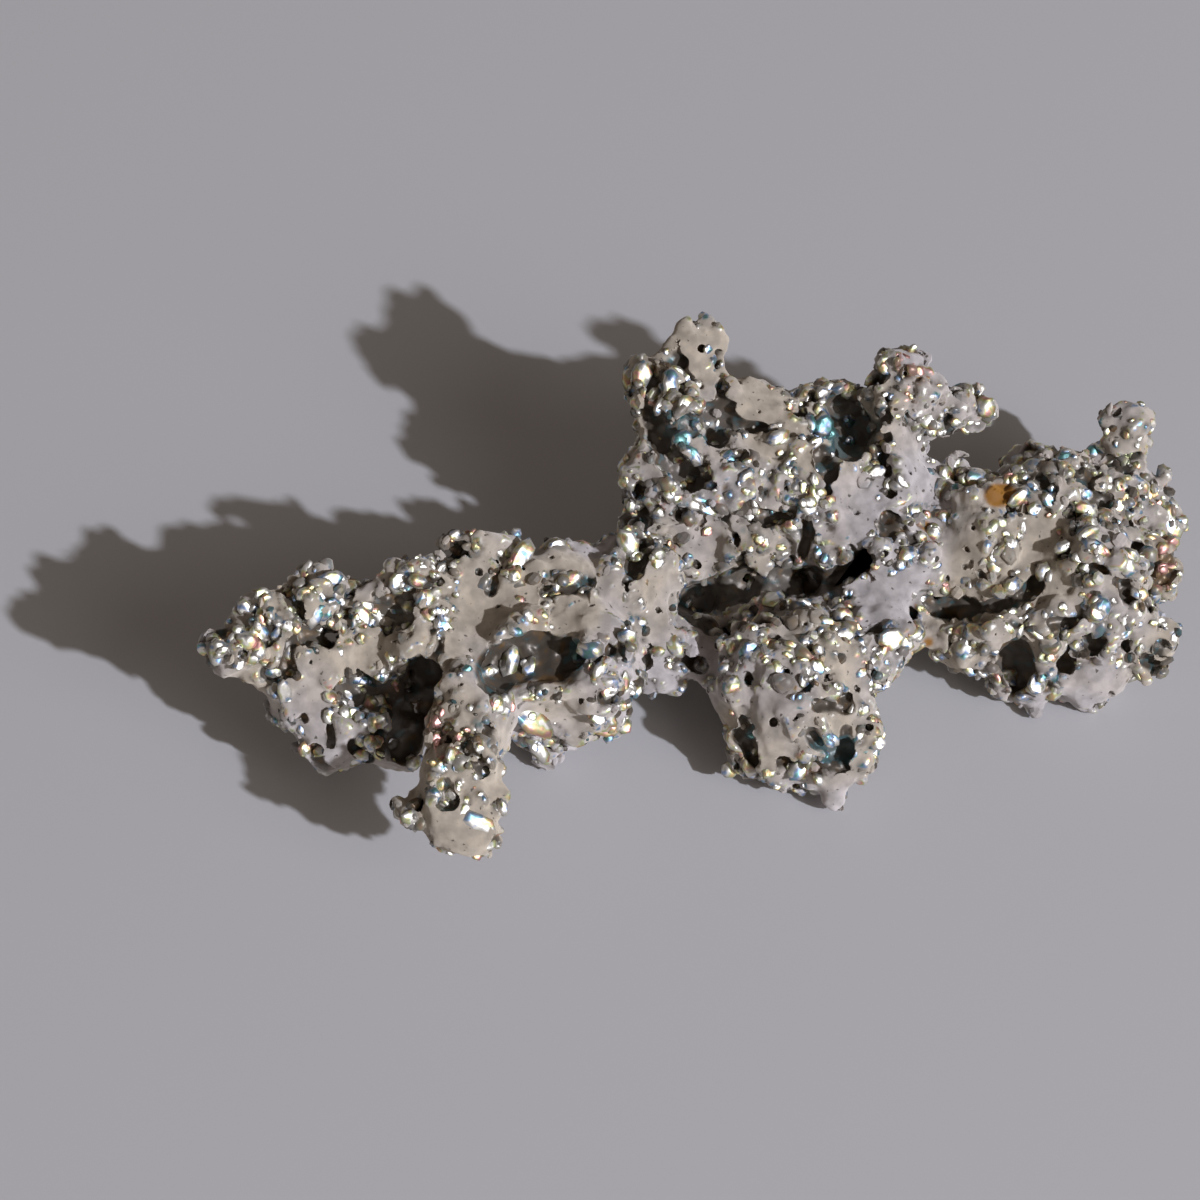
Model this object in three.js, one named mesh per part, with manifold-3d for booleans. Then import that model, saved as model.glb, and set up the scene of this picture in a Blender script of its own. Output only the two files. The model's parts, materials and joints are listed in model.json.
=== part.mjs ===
// A native silver nugget: one spongy, knobbly piece of metal, long and low, that lies on a few
// small worn spots of its underside. A raised arm runs out to the left with a lobe hanging off its
// front, a short tower and a crown stand at the back of the middle, a rounded belly comes forward
// under them, and a broad lobe closes the right end. Deep clefts part the belly from the crown,
// the arm from its front lobe, and split the right lobe.
//
// Millimetres. +X runs along the nugget, +Y from its front to its back, +Z is up. The origin is
// the middle of the bounding box, at the level that the nugget rests on.
import * as THREE from "three";
import { mergeVertices } from "three/addons/utils/BufferGeometryUtils.js";
import Module from "manifold-3d";

const wasm = await Module();
wasm.setup();

// Driving dimensions.
const LENGTH = 21.6; // overall size along X
const KNOBBLE = 0.2; // how far a lump's skin stands in or out, as a share of its radius
const FINE_RADIUS = 1.6; // lumps from this radius up get finer facets
const SLOT_SIDES = 7; // facets round a slot
const SLOT_END_STEPS = 2; // facets from a slot's side to the tip of its round end
const SLAB = 40; // size of the block that trims the underside

// Each lump is [x, y, z, radius], by the limb it belongs to.
const LUMPS = {
  leftArm: [
    [-10.0, -3.75, 3.4, 0.75],
    [-9.05, -2.95, 3.4, 1.0],
    [-8.2, -2.7, 3.5, 0.95],
    [-9.0, -3.75, 2.95, 0.85],
    [-8.05, -3.7, 2.9, 0.85],
    [-8.35, -4.15, 2.2, 0.95],
    [-7.15, -3.95, 2.3, 0.9],
    [-7.75, -4.6, 1.7, 0.95],
    [-6.7, -4.5, 1.7, 1.0],
    [-7.1, -2.35, 3.5, 0.8],
    [-6.1, -2.3, 3.3, 1.2],
    [-4.8, -1.9, 3.4, 1.1],
    [-3.9, -1.8, 3.4, 0.9],
    [-2.9, -1.85, 3.0, 1.25],
    [-1.5, -1.3, 2.9, 1.2],
    [-6.2, -3.2, 2.5, 1.15],
    [-5.3, -3.35, 2.6, 1.4],
    [-3.95, -3.25, 2.5, 1.7],
    [-2.65, -3.3, 2.4, 1.6],
    [-3.2, -3.4, 1.1, 1.2],
    [-0.9, -2.1, 1.9, 1.3],
  ],
  frontLobe: [
    [-4.85, -5.15, 2.9, 1.15],
    [-5.05, -6.5, 2.9, 1.1],
    [-5.2, -7.35, 2.6, 0.95],
    [-4.8, -7.8, 2.4, 0.75],
    [-6.05, -7.3, 2.5, 0.5],
    [-4.45, -6.9, 2.6, 0.6],
  ],
  tower: [
    [-0.2, 0.8, 1.6, 1.7],
    [0.6, 2.3, 1.5, 1.55],
    [0.1, 2.7, 3.2, 1.4],
    [-0.6, 1.0, 3.6, 1.2],
    [0.9, 0.95, 3.3, 1.35],
    [-0.65, 2.15, 4.4, 1.0],
    [-1.05, 2.75, 4.8, 0.7],
    [0.4, 2.3, 4.1, 1.1],
    [-0.2, 3.5, 5.0, 0.75],
    [0.35, 3.7, 5.0, 0.55],
    [1.1, 2.8, 4.0, 0.8],
    [1.85, 2.1, 3.7, 1.1],
  ],
  crown: [
    [1.3, 0.2, 2.6, 1.0],
    [2.4, 0.9, 2.9, 1.6],
    [2.95, 2.45, 3.6, 1.1],
    [3.95, 2.25, 3.8, 1.1],
    [4.25, 2.95, 4.9, 0.65],
    [4.6, 2.65, 4.6, 0.7],
    [5.4, 2.8, 4.0, 0.45],
    [6.05, 2.8, 3.9, 0.35],
    [4.85, 2.3, 3.9, 0.55],
    [4.1, 1.1, 3.0, 1.2],
    [3.7, -0.1, 2.6, 1.3],
  ],
  belly: [
    [1.7, -1.0, 1.0, 1.4],
    [3.1, -1.1, 1.2, 1.2],
    [1.6, -3.1, 1.9, 1.35],
    [2.8, -2.8, 1.9, 1.3],
    [0.95, -3.35, 1.5, 1.0],
    [2.2, -3.75, 1.6, 1.55],
    [1.15, -4.25, 0.9, 0.85],
    [3.15, -4.2, 1.2, 0.95],
    [2.85, -4.95, 0.75, 0.7],
    [2.05, -4.45, 0.8, 0.95],
    [3.9, -2.15, 2.0, 0.9],
  ],
  rightLobe: [
    [4.6, -0.4, 2.2, 1.2],
    [5.4, 1.3, 2.6, 0.85],
    [6.25, 0.2, 2.4, 1.5],
    [7.7, 0.85, 2.4, 1.6],
    [9.0, 1.6, 2.2, 1.2],
    [9.3, 3.75, 1.9, 0.5],
    [9.2, 2.8, 2.0, 0.75],
    [9.75, 1.4, 2.0, 0.8],
    [9.6, -0.05, 1.8, 0.95],
    [8.35, -0.8, 2.0, 1.6],
    [6.7, -1.45, 1.7, 1.4],
    [5.7, -1.75, 1.4, 0.9],
    [7.05, -2.1, 0.95, 1.05],
    [8.5, -2.0, 1.0, 1.15],
    [9.55, -1.75, 1.3, 0.9],
    [7.35, 2.5, 2.3, 0.65],
  ],
};

// Each slot is [start, end, radius] and is cut out of the joined lumps.
const SLOTS = {
  underCrown: [
    [[-0.4, -2.0, 2.6], [1.2, -1.5, 3.1], 0.45],
    [[1.2, -1.5, 3.1], [3.3, -1.2, 3.1], 0.38],
    [[1.7, -1.3, 3.0], [1.6, -0.5, 3.6], 0.32],
  ],
  crownNotch: [[[3.1, 1.3, 4.6], [3.4, 2.2, 4.8], 0.5]],
  armHole: [[[-6.2, -5.0, 2.2], [-5.9, -4.0, 3.1], 0.5]],
  armDish: [[[-3.6, -4.4, 4.0], [-3.0, -4.4, 4.2], 0.9]],
  throughRightLobe: [
    [[5.0, -1.6, 2.4], [6.9, -1.95, 3.0], 0.45],
    [[6.9, -1.95, 3.0], [7.8, -1.5, 3.2], 0.4],
  ],
  rightLobePits: [
    [[6.7, -3.0, 1.6], [7.0, -2.7, 2.2], 0.45],
    [[8.2, -2.1, 3.1], [8.8, -2.35, 2.7], 0.38],
  ],
};

// A number from -1 to 1 that changes smoothly with the direction, differently for each seed.
function knobble(direction, seed) {
  const { x, y, z } = direction;
  return (
    0.5 * Math.sin(3.1 * x + 1.7 * seed) * Math.cos(2.7 * y - seed) +
    0.3 * Math.sin(4.3 * z + 2.3 * seed + 2.0 * x) +
    0.2 * Math.cos(6.1 * y - 1.3 * seed + 3.0 * z)
  );
}

function solidFrom(geometry) {
  geometry.deleteAttribute("normal");
  geometry.deleteAttribute("uv");
  const merged = mergeVertices(geometry, 1e-4);
  return new wasm.Manifold(
    new wasm.Mesh({
      numProp: 3,
      vertProperties: merged.attributes.position.array,
      triVerts: new Uint32Array(merged.index.array),
    }),
  );
}

// An uneven ball of metal.
function lump([x, y, z, radius], seed) {
  const detail = radius >= FINE_RADIUS ? 2 : 1;
  const ball = new THREE.IcosahedronGeometry(1, detail);
  const place = ball.getAttribute("position");
  const point = new THREE.Vector3();
  for (let i = 0; i < place.count; i += 1) {
    point.fromBufferAttribute(place, i).normalize();
    point.multiplyScalar(radius * (1 + KNOBBLE * knobble(point, seed)));
    place.setXYZ(i, point.x, point.y, point.z);
  }
  ball.rotateZ(seed);
  ball.translate(x, y, z);
  return solidFrom(ball);
}

// A round-ended slot cutter between two points.
function slot([start, end, radius]) {
  const from = new THREE.Vector3(...start);
  const to = new THREE.Vector3(...end);
  const along = to.clone().sub(from);
  const cutter = new THREE.CapsuleGeometry(radius, along.length(), SLOT_END_STEPS, SLOT_SIDES);
  const up = new THREE.Vector3(0, 1, 0);
  cutter.applyQuaternion(new THREE.Quaternion().setFromUnitVectors(up, along.normalize()));
  const middle = from.add(to).multiplyScalar(0.5);
  cutter.translate(middle.x, middle.y, middle.z);
  return solidFrom(cutter);
}

function joined(groups, make) {
  return wasm.Manifold.union(Object.values(groups).flat().map(make));
}

// The outer skin only: pockets sealed between lumps are filled.
function outerSkin(solid) {
  const shells = solid.decompose();
  return shells.reduce((best, shell) => (shell.volume() > best.volume() ? shell : best));
}

function geometryOf(solid) {
  const { numProp, vertProperties, triVerts } = solid.getMesh();
  const vertices = new Float32Array((vertProperties.length / numProp) * 3);
  for (let i = 0; i < vertices.length / 3; i += 1) {
    vertices.set(vertProperties.subarray(i * numProp, i * numProp + 3), i * 3);
  }
  const geometry = new THREE.BufferGeometry();
  geometry.setAttribute("position", new THREE.BufferAttribute(vertices, 3));
  geometry.setIndex(new THREE.BufferAttribute(new Uint32Array(triVerts), 1));
  return geometry;
}

const belowFloor = solidFrom(new THREE.BoxGeometry(SLAB, SLAB, SLAB).translate(0, 0, -SLAB / 2));
const body = joined(LUMPS, lump).subtract(joined(SLOTS, slot)).subtract(belowFloor);
const skin = geometryOf(outerSkin(body));

skin.computeBoundingBox();
const middle = skin.boundingBox.getCenter(new THREE.Vector3());
const scale = LENGTH / (skin.boundingBox.max.x - skin.boundingBox.min.x);
skin.translate(-middle.x, -middle.y, -skin.boundingBox.min.z);
skin.scale(scale, scale, scale);
skin.computeVertexNormals();

const silver = new THREE.MeshStandardMaterial({ color: 0xf2efe8, roughness: 0.16, metalness: 1.0 });
const nugget = new THREE.Mesh(skin, silver);
nugget.name = "silver_nugget";

const part = new THREE.Group();
part.add(nugget);

export default part;
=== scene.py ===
"""A nugget of native silver: spongy metal with satin skin, black hollows and bright beads.

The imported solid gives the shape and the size. A copy of it is shrunk a little, grown over with
knobs, hollowed, set with beads and given its finish. The finished skin is split at the necks
between its lobes, so that no piece is too heavy to export.
"""
import json
import logging
import math
from collections.abc import Iterator
from contextlib import contextmanager
from dataclasses import dataclass, field
from enum import Enum

import bpy
import numpy as np
from mathutils import Matrix, Vector
from mathutils.bvhtree import BVHTree
from mathutils.kdtree import KDTree

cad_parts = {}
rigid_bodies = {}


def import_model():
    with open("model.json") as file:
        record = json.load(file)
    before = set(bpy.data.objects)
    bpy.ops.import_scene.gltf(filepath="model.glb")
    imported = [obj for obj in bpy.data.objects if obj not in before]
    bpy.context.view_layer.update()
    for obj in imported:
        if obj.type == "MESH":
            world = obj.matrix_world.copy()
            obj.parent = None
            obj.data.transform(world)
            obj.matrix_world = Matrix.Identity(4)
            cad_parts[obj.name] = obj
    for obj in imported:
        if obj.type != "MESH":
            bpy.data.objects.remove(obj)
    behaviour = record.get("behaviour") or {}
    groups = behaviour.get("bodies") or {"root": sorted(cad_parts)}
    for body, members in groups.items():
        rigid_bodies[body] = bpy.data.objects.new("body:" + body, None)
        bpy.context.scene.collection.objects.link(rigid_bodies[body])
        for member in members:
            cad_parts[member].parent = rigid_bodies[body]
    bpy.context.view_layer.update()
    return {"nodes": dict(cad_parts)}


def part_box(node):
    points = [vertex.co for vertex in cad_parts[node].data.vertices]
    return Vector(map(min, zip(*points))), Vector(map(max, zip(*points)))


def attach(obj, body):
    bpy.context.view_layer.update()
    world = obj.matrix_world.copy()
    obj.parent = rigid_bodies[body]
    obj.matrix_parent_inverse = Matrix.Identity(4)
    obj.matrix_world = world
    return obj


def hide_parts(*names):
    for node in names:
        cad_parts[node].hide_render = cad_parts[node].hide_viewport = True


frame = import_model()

NODE = "silver_nugget"
MM = 0.001
SEED = 20
# The way the nugget's hollows open: 50 degrees up from the front, where the camera stands.
OPEN_SIDE = (0.0, -0.643, 0.766)
# Half way between the open side and the key light: a flat face turned this way throws its light back.
BRIGHT_SIDE = (0.336, -0.641, 0.690)
log = logging.getLogger(NODE)


def foot_of(node: str) -> tuple[float, float, float]:
    """Return the middle of the underside of a node's box, in mm."""
    low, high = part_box(node)
    return (low[0] + high[0]) / 2 / MM, (low[1] + high[1]) / 2 / MM, low[2] / MM


FOOT = foot_of(NODE)

Array = np.ndarray
Mesh = bpy.types.Mesh
Pair = tuple[float, float]
Piece = bpy.types.Object
Point = tuple[float, float, float]
Stops = tuple[tuple[float, str], ...]


# ---------------- small tools

def linear(code: str) -> tuple[float, float, float, float]:
    """Turn an sRGB hex colour to linear red, green, blue and an alpha of one."""
    parts = [int(code[i:i + 2], 16) / 255 for i in (0, 2, 4)]
    return (*(c / 12.92 if c <= 0.04045 else ((c + 0.055) / 1.055) ** 2.4 for c in parts), 1.0)


def add_node(tree: bpy.types.NodeTree, kind: str, settings: dict | None = None,
             inputs: dict | None = None) -> bpy.types.Node:
    """Add a shader node with its settings, values and links.

    Args:
        tree: the node tree.
        kind: the node's type.
        settings: attributes to set on the node.
        inputs: for each input, a value or the socket that feeds it.

    Returns:
        The new node.
    """
    node = tree.nodes.new(kind)
    for name, value in (settings or {}).items():
        setattr(node, name, value)
    for name, value in (inputs or {}).items():
        if isinstance(value, bpy.types.NodeSocket):
            tree.links.new(value, node.inputs[name])
        else:
            node.inputs[name].default_value = value
    return node


def set_stops(ramp: bpy.types.Node, stops: Stops) -> bpy.types.NodeSocket:
    """Give a colour ramp its stops.

    Args:
        ramp: the ramp, with two stops.
        stops: the position and sRGB hex colour of each.

    Returns:
        The ramp's colour output.
    """
    elements = ramp.color_ramp.elements
    while len(elements) < len(stops):
        elements.new(0.5)
    for element, (position, code) in zip(elements, stops):
        element.position = position
        element.color = linear(code)
    return ramp.outputs[0]


def select_only(*pieces: Piece) -> None:
    """Select these objects and nothing else, and make the first one active."""
    bpy.ops.object.select_all(action="DESELECT")
    for piece in pieces:
        piece.select_set(True)
    bpy.context.view_layer.objects.active = pieces[0]


@contextmanager
def edit_mode() -> Iterator[None]:
    """Work on the active object in edit mode, and go back to object mode after.

    Yields:
        Nothing, once in edit mode.
    """
    bpy.ops.object.mode_set(mode="EDIT")
    yield
    bpy.ops.object.mode_set(mode="OBJECT")


def apply_modifier(piece: Piece, kind: str, **settings: object) -> None:
    """Add a modifier to a piece and apply it.

    Args:
        piece: the object.
        kind: the modifier's type.
        settings: attributes to set on the modifier.
    """
    select_only(piece)
    modifier = piece.modifiers.new(kind.title(), kind)
    for name, value in settings.items():
        setattr(modifier, name, value)
    bpy.ops.object.modifier_apply(modifier=modifier.name)


def show(piece: Piece) -> Piece:
    """Put an object in the scene and return it."""
    bpy.context.scene.collection.objects.link(piece)
    return piece


def copy_of(piece: Piece, name: str) -> Piece:
    """Copy a piece and its mesh.

    Args:
        piece: the object.
        name: the copy's name.

    Returns:
        The copy, in the scene.
    """
    twin = piece.copy()
    twin.data = piece.data.copy()
    twin.name = twin.data.name = name
    return show(twin)


def shade(piece: Piece, smooth: bool) -> None:
    """Shade every face of a piece smooth or flat."""
    polygons = piece.data.polygons
    polygons.foreach_set("use_smooth", np.full(len(polygons), smooth))


def join_into(piece: Piece, *others: Piece) -> None:
    """Join other objects into a piece."""
    select_only(piece, *others)
    bpy.ops.object.join()


def read(items: bpy.types.bpy_prop_collection, name: str, width: int = 1,
         kind: type = np.float32) -> Array:
    """Read one property of every item of a mesh.

    Args:
        items: the items, such as its vertices.
        name: the property.
        width: how many numbers each item has.
        kind: the type of number.

    Returns:
        One number for each item, or one row where it has more.
    """
    flat = np.empty(len(items) * width, kind)
    items.foreach_get(name, flat)
    return flat.reshape(-1, width) if width > 1 else flat


def points_of(mesh: Mesh) -> Array:
    """Return a mesh's vertex positions as rows of x, y, z."""
    return read(mesh.vertices, "co", 3)


def normals_of(mesh: Mesh) -> Array:
    """Return a mesh's vertex normals as rows of x, y, z."""
    return read(mesh.vertex_normals, "vector", 3)


def move_points(mesh: Mesh, points: Array) -> None:
    """Give a mesh new vertex positions."""
    mesh.vertices.foreach_set("co", points.astype(np.float32).ravel())
    mesh.update()


def mesh_object(name: str, points: Array, faces: Array) -> Piece:
    """Make an object from arrays of points and of faces with the same number of corners.

    Args:
        name: the object's name.
        points: rows of x, y, z.
        faces: rows of vertex numbers.

    Returns:
        The new object, linked to the scene.
    """
    count, corners = faces.shape
    mesh = bpy.data.meshes.new(name)
    mesh.vertices.add(len(points))
    mesh.loops.add(count * corners)
    mesh.polygons.add(count)
    mesh.loops.foreach_set("vertex_index", faces.astype(np.int32).ravel())
    mesh.polygons.foreach_set("loop_start", np.arange(0, count * corners, corners, dtype=np.int32))
    move_points(mesh, points)
    mesh.validate()
    return show(bpy.data.objects.new(name, mesh))


def smooth_step(low: float, high: float, values: Array) -> Array:
    """Ease values from 0 at low to 1 at high."""
    t = np.clip((values - low) / (high - low), 0, 1)
    return t * t * (3 - 2 * t)


def unit(rows: Array) -> Array:
    """Scale rows to length 1."""
    return rows / np.linalg.norm(rows, axis=1)[:, None]


def spread(limits: Pair, shares: Array) -> Array:
    """Place shares from 0 to 1 between two limits."""
    low, high = limits
    return low + (high - low) * shares


def tree_of(points: Array) -> KDTree:
    """Build a search tree over points.

    Args:
        points: rows of x, y, z.

    Returns:
        The tree.
    """
    tree = KDTree(len(points))
    for number, point in enumerate(points):
        tree.insert(point, number)
    tree.balance()
    return tree


def surface_of(piece: Piece) -> BVHTree:
    """Build a search tree over a piece's faces.

    Args:
        piece: the object.

    Returns:
        The tree.
    """
    mesh = piece.data
    corners = read(mesh.loops, "vertex_index", kind=np.int32)
    starts = read(mesh.polygons, "loop_start", kind=np.int32)
    faces = np.split(corners, starts[1:])
    return BVHTree.FromPolygons(points_of(mesh).tolist(), [face.tolist() for face in faces])


# ---------------- blobs

@dataclass
class BlobMaker:
    """Makes lumpy round blobs in numbers, as one joined mesh.

    A few lumpy balls are modelled once. Each blob is a copy of one of them, turned and stretched.
    """
    rng: np.random.Generator
    cuts: int = 3
    kinds: int = 6
    lumpiness: float = 0.22
    grit: float = 0.0

    def __post_init__(self) -> None:
        """Model the lumpy balls."""
        ball, self.faces = self.ball()
        self.balls = []
        for _ in range(self.kinds):
            lumps = unit(self.rng.normal(size=(7, 3)))
            swell = np.exp(3 * (ball @ lumps.T - 1)) @ self.rng.uniform(-1, 1, 7)
            uneven = self.grit * self.rng.normal(size=ball.shape)
            self.balls.append(ball * (1 + self.lumpiness * swell)[:, None] + uneven)

    def ball(self) -> tuple[Array, Array]:
        """Model a round ball from a cube.

        Returns:
            Its points at radius 1, and its faces.
        """
        bpy.ops.object.select_all(action="DESELECT")
        bpy.ops.mesh.primitive_cube_add(size=2)
        piece = bpy.context.object
        with edit_mode():
            bpy.ops.mesh.subdivide(number_cuts=self.cuts)
            bpy.ops.transform.tosphere(value=1)
        points = unit(points_of(piece.data))
        faces = np.array([list(face.vertices) for face in piece.data.polygons])
        bpy.data.objects.remove(piece)
        return points, faces

    def turns(self, count: int) -> Array:
        """Return random rotation matrices.

        Args:
            count: how many.

        Returns:
            One matrix for each.
        """
        w, x, y, z = unit(self.rng.normal(size=(count, 4))).T
        rows = (1 - 2 * (y * y + z * z), 2 * (x * y - z * w), 2 * (x * z + y * w),
                2 * (x * y + z * w), 1 - 2 * (x * x + z * z), 2 * (y * z - x * w),
                2 * (x * z - y * w), 2 * (y * z + x * w), 1 - 2 * (x * x + y * y))
        return np.stack(rows, 1).reshape(count, 3, 3)

    def turns_to(self, facing: Array) -> Array:
        """Return one rotation matrix for each of these unit vectors, which turns +Z to it."""
        across = unit(np.cross(facing, self.rng.normal(size=facing.shape)))
        return np.stack((across, np.cross(facing, across), facing), 2)

    def scatter(self, name: str, centres: Array, radii: Array, stretch: float,
                facing: Array | None = None, pull: Array | None = None) -> Piece:
        """Make blobs at these places.

        Args:
            name: the object's name.
            centres: rows of x, y, z.
            radii: one for each blob.
            stretch: how far each axis may differ from the radius, as a share of it.
            facing: the way each blob's top faces, or None to turn them at random.
            pull: how far each blob is drawn out, both ways, or None.

        Returns:
            The blobs as one object.
        """
        count = len(centres)
        kind = self.rng.integers(0, self.kinds, count)
        points = np.array(self.balls)[kind]
        points = points * (1 + stretch * self.rng.uniform(-1, 1, (count, 1, 3)))
        turns = self.turns(count) if facing is None else self.turns_to(facing)
        points = points @ turns.transpose(0, 2, 1)
        points = points * radii[:, None, None]
        if pull is not None:
            way = pull / np.maximum(np.linalg.norm(pull, axis=1), 1e-6)[:, None]
            share = np.einsum("nki,ni->nk", points, way) / radii[:, None]
            points += share[:, :, None] * pull[:, None, :]
        points += centres[:, None, :]
        faces = self.faces[None] + (np.arange(count) * points.shape[1])[:, None, None]
        return mesh_object(name, points.reshape(-1, 3), faces.reshape(-1, faces.shape[2]))


@dataclass
class BeadMaker(BlobMaker):
    """Makes beads whose top is one nearly flat round face, as one joined mesh.

    The profile gives the radius and the height of each ring, from the top down.
    """
    kinds: int = 24
    lumpiness: float = 0.28
    grit: float = 0.085
    sides: int = 8
    profile: tuple = ((0, 0.70), (0.62, 0.68), (0.86, 0.58), (1, 0.10), (0.75, -0.6), (0, -0.9))

    def ball(self) -> tuple[Array, Array]:
        """Model a ball from rings, and give its rings the profile.

        Returns:
            Its points, about 1 from the middle, and its faces.
        """
        rows = len(self.profile) - 1
        bpy.ops.object.select_all(action="DESELECT")
        bpy.ops.mesh.primitive_uv_sphere_add(segments=self.sides, ring_count=rows, radius=1)
        piece = bpy.context.object
        with edit_mode():
            bpy.ops.mesh.quads_convert_to_tris()
        points = points_of(piece.data)
        faces = np.array([list(face.vertices) for face in piece.data.polygons])
        bpy.data.objects.remove(piece)
        width, height = np.array(self.profile).T
        row = np.round(np.arccos(np.clip(points[:, 2], -1, 1)) * rows / math.pi).astype(int)
        self.side = row > 2
        around = points[:, :2] / np.maximum(np.linalg.norm(points[:, :2], axis=1), 1e-6)[:, None]
        return np.column_stack((around * width[row][:, None], height[row])), faces


@dataclass
class Beads:
    """Where beads sit, their size, where their tops face and how they are drawn out, in rows."""
    centres: Array
    radii: Array
    facing: Array
    pull: Array

    def pick(self, chosen: Array) -> "Beads":
        """Return only the chosen ones."""
        return Beads(self.centres[chosen], self.radii[chosen], self.facing[chosen], self.pull[chosen])


@dataclass
class Waves:
    """A smooth random field: plane waves of about one length, summed."""
    rng: np.random.Generator
    length: float
    count: int = 30

    def __post_init__(self) -> None:
        """Draw the waves."""
        way = unit(self.rng.normal(size=(self.count, 3)))
        size = self.length * self.rng.uniform(0.7, 1.6, self.count)
        self.ways = (2 * math.pi * way / size[:, None]).astype(np.float32)
        self.starts = self.rng.uniform(0, 2 * math.pi, self.count).astype(np.float32)

    def at(self, points: Array) -> Array:
        """Return the field at points, mostly between -2 and 2."""
        return np.sin(points @ self.ways.T + self.starts).sum(1) * math.sqrt(2 / self.count)


def sample_surface(mesh: Mesh, count: int, rng: np.random.Generator,
                   weight: Array | None = None) -> tuple[Array, Array]:
    """Pick random places on a mesh.

    Args:
        mesh: the mesh.
        count: how many places.
        rng: the source of random numbers.
        weight: how likely each vertex's neighbourhood is.

    Returns:
        The places and the normals there.
    """
    mesh.calc_loop_triangles()
    triangles = read(mesh.loop_triangles, "vertices", 3, np.int32)
    points = points_of(mesh)
    normals = normals_of(mesh)
    a, b, c = (points[triangles[:, k]] for k in range(3))
    chance = np.linalg.norm(np.cross(b - a, c - a), axis=1)
    if weight is not None:
        chance = chance * weight[triangles].mean(1)
    pick = rng.choice(len(triangles), count, p=chance / chance.sum())
    shares = rng.dirichlet((1, 1, 1), count)
    corners = triangles[pick]
    place = (points[corners] * shares[:, :, None]).sum(1)
    return place, unit((normals[corners] * shares[:, :, None]).sum(1))


# ---------------- where things lie on the nugget

class Feature(Enum):
    """What a named place on the nugget is."""
    HOLLOW = "a deep hollow or cleft with black walls"
    PIT = "a small pit"
    SKIN = "smooth satin skin"
    MIRROR = "a bright flattened bead"
    OCHRE = "an ochre stain"
    DISH = "a wide polished dish"
    SPUR = "a spur that stands out from the outline"
    BAY = "a bay in the outline"
    GRAINS = "a stretch that is all grains and gaps but for named skin"
    TINT = "a film thicker or thinner than round it, so of another colour"


@dataclass(frozen=True)
class Place:
    """A stretch of the surface: a chain of points from the solid's foot, and a half width, in mm."""
    kind: Feature
    radius: float
    chain: tuple[Point, ...]

    def samples(self, spacing: float) -> Array:
        """Return points along the chain, at most spacing apart.

        Args:
            spacing: the largest step in mm.

        Returns:
            Rows of x, y, z in mm.
        """
        rows = [np.array(self.chain[0])]
        for start, end in zip(self.chain, self.chain[1:]):
            start, end = np.array(start), np.array(end)
            steps = max(1, math.ceil(np.linalg.norm(end - start) / spacing))
            rows += [start + (end - start) * k / steps for k in range(1, steps + 1)]
        return np.array(rows) + FOOT


def places(kind: Feature, *rows: tuple[int, ...]) -> tuple[Place, ...]:
    """Make places from rows of a radius, then x, y and z of each point, in hundredths of a mm."""
    values = [[part / 100 for part in row] for row in rows]
    return tuple(Place(kind, row[0], tuple(zip(row[1::3], row[2::3], row[3::3]))) for row in values)


ARM_HOLLOWS = places(
    Feature.HOLLOW,
    (47, -584, -162, 276, -606, -215, 229, -631, -280, 183),
    (42, -740, -230, 297, -691, -240, 287, -649, -215, 279), (13, -543, 65, 415, -503, 54, 437),
    (16, -880, -72, 440, -855, -118, 423), (28, -837, -149, 387, -791, -147, 371),
    (25, -689, -98, 385, -638, -113, 394), (12, -756, -92, 388, -715, -103, 391), (14, -749, -57, 410),
    (16, -925, -224, 344, -899, -232, 341), (16, -870, -219, 349), (18, -646, -89, 428),
    (10, -786, -296, 251, -784, -324, 225), (18, -739, -328, 223, -707, -321, 180),
    (21, -669, -313, 239), (18, -543, -571, 345, -520, -571, 349),
    (16, -500, -473, 393, -475, -484, 390), (13, -437, -633, 265, -416, -608, 277),
    (13, -563, -111, 394), (11, -586, -58, 457, -553, -43, 436), (16, -453, -412, 389),
    (13, -968, -205, 389), (13, -1013, -169, 411), (13, -329, -44, 401, -255, -44, 408),
)
TOWER_HOLLOWS = places(
    Feature.HOLLOW,
    (21, -103, 461, 544, -93, 410, 536), (31, -99, 363, 497, -78, 325, 474),
    (32, 31, 383, 501, 44, 351, 464), (31, -17, 354, 491), (16, 93, 374, 471, 141, 373, 460),
    (16, 95, 284, 468), (18, -33, 500, 534), (33, -56, 271, 464, -17, 245, 434), (20, -125, 235, 419),
    (21, -114, 211, 347), (16, 54, 445, 516), (21, -39, 196, 384), (21, 144, 200, 360, 187, 199, 362),
    (24, -139, 22, 393, -119, 89, 400),
)
CROWN_HOLLOWS = places(
    Feature.HOLLOW,
    (42, 313, 439, 451, 347, 409, 430, 333, 352, 418), (21, 394, 470, 515),
    (26, 273, 294, 470, 285, 252, 459), (17, 414, 292, 413), (19, 412, 194, 374), (14, 281, 220, 423),
)
BELLY_HOLLOWS = places(
    Feature.HOLLOW,
    (38, -17, 56, 249, 51, 141, 188, 115, 134, 217), (34, 180, 120, 240, 247, 152, 202),
    (24, 287, 100, 270, 326, 112, 283, 356, 121, 306), (30, 30, 5, 242),
    (16, 237, 179, 361, 231, 150, 295), (17, -33, -90, 239, 12, -53, 160),
    (15, 80, -247, 165, 101, -278, 159, 122, -299, 138), (19, 240, -296, 224, 253, -298, 199),
    (24, 294, -290, 148, 319, -287, 164), (15, 104, -179, 269), (17, 248, -250, 268, 278, -241, 260),
    (19, 313, -215, 255), (13, 383, -42, 271, 413, -47, 270), (17, 292, -15, 306), (15, 123, 63, 210),
    (15, 66, -40, 262), (15, -187, -188, 381), (17, -201, -277, 322),
)
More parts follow.
